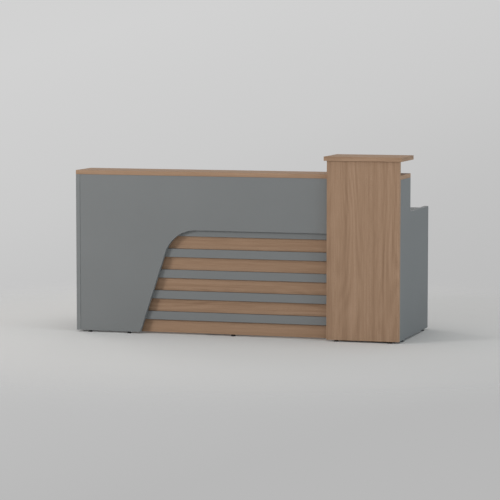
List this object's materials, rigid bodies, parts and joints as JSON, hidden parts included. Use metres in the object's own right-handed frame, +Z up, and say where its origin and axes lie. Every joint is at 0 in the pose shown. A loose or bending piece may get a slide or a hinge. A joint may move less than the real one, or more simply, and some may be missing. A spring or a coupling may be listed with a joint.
{
  "type": "reception desk",
  "caption": "Grey and wood-faced reception desk with a raised counter, a slatted grille in a round-shouldered front cut-out, a taller wood tower and a drawer pedestal.",
  "frame": {"origin": "middle of the footprint's box, on the floor", "axes": "+X along the desk towards the tower end, +Y from the visitor side to the staff side, +Z up"},
  "size_m": [2.015, 0.77, 1.08],
  "materials": {
    "grey_board": "fine matt grey melamine on particleboard",
    "wood_board": "brown wood-grain melamine on particleboard",
    "drawer_board": "plain pale melamine on particleboard",
    "hardboard": "pale faced hardboard",
    "black_plastic": "moulded, satin",
    "grommet_plastic": "moulded, satin",
    "zinc_steel": "zinc plated",
    "handle_metal": "satin nickel",
    "lock_metal": "polished"
  },
  "bodies": {
    "root": {"cap_board": "wood_board", "cap_riser_left": "wood_board", "cap_riser_rear": "wood_board", "cap_riser_right": "wood_board", "corner_brackets": "zinc_steel", "counter_board": "wood_board", "counter_divider_1": "grey_board", "counter_divider_2": "grey_board", "floor_glides": "black_plastic", "front_panel": "grey_board", "grille_backing": "wood_board", "grille_slat_1": "grey_board", "grille_slat_2": "grey_board", "grille_slat_3": "grey_board", "grille_slat_4": "grey_board", "grille_slat_5": "grey_board", "grommet_sleeve_1": "grommet_plastic", "grommet_sleeve_2": "grommet_plastic", "left_end_panel": "grey_board", "lock_strike": "zinc_steel", "pedestal_back": "grey_board", "pedestal_bottom": "grey_board", "pedestal_side_left": "grey_board", "pedestal_side_right": "grey_board", "pedestal_top": "grey_board", "right_end_panel": "grey_board", "runner_rails": "zinc_steel", "tower_board": "wood_board", "tower_packing_strips": "grey_board", "worktop": "grey_board", "worktop_support": "grey_board"},
    "drawer_1": {"drawer_front_1": "grey_board", "drawer_1_sides": "drawer_board", "drawer_1_ends": "drawer_board", "drawer_1_base": "hardboard", "runner_slides_1": "zinc_steel", "handle_1": "handle_metal", "lock_body": "lock_metal"},
    "runner_middle_1": {"runner_middles_1": "zinc_steel"},
    "drawer_2": {"drawer_front_2": "grey_board", "drawer_2_sides": "drawer_board", "drawer_2_ends": "drawer_board", "drawer_2_base": "hardboard", "runner_slides_2": "zinc_steel", "handle_2": "handle_metal"},
    "runner_middle_2": {"runner_middles_2": "zinc_steel"},
    "drawer_3": {"drawer_front_3": "grey_board", "drawer_3_sides": "drawer_board", "drawer_3_ends": "drawer_board", "drawer_3_base": "hardboard", "runner_slides_3": "zinc_steel", "handle_3": "handle_metal"},
    "runner_middle_3": {"runner_middles_3": "zinc_steel"},
    "lock": {"lock_barrel": "lock_metal", "lock_cam": "zinc_steel"},
    "grommet_cap_1": {"grommet_cap_1": "grommet_plastic"},
    "grommet_cap_2": {"grommet_cap_2": "grommet_plastic"}
  },
  "joints": [
    {"name": "drawer_1_slide", "type": "slide", "parent": "root", "child": "drawer_1", "axis": [0, 1, 0], "range_m": [0, 0.45]},
    {"name": "runner_middle_1_slide", "type": "slide", "parent": "root", "child": "runner_middle_1", "axis": [0, 1, 0], "range_m": [0, 0.225]},
    {"name": "drawer_2_slide", "type": "slide", "parent": "root", "child": "drawer_2", "axis": [0, 1, 0], "range_m": [0, 0.45]},
    {"name": "runner_middle_2_slide", "type": "slide", "parent": "root", "child": "runner_middle_2", "axis": [0, 1, 0], "range_m": [0, 0.225]},
    {"name": "drawer_3_slide", "type": "slide", "parent": "root", "child": "drawer_3", "axis": [0, 1, 0], "range_m": [0, 0.45]},
    {"name": "runner_middle_3_slide", "type": "slide", "parent": "root", "child": "runner_middle_3", "axis": [0, 1, 0], "range_m": [0, 0.225]},
    {"name": "lock_turn", "type": "hinge", "parent": "drawer_1", "child": "lock", "pos_m": [0.9075, 0.355, 0.672], "axis": [0, -1, 0], "range_deg": [0, 90]},
    {"name": "grommet_cap_1_turn", "type": "hinge", "parent": "root", "child": "grommet_cap_1", "pos_m": [-0.7075, -0.02, 0.74], "axis": [0, 0, 1], "continuous": true},
    {"name": "grommet_cap_2_turn", "type": "hinge", "parent": "root", "child": "grommet_cap_2", "pos_m": [0.1925, -0.02, 0.74], "axis": [0, 0, 1], "continuous": true}
  ],
  "couplings": [
    {"joint": "runner_middle_1_slide", "follows": "drawer_1_slide", "ratio": 0.5},
    {"joint": "runner_middle_2_slide", "follows": "drawer_2_slide", "ratio": 0.5},
    {"joint": "runner_middle_3_slide", "follows": "drawer_3_slide", "ratio": 0.5}
  ]
}
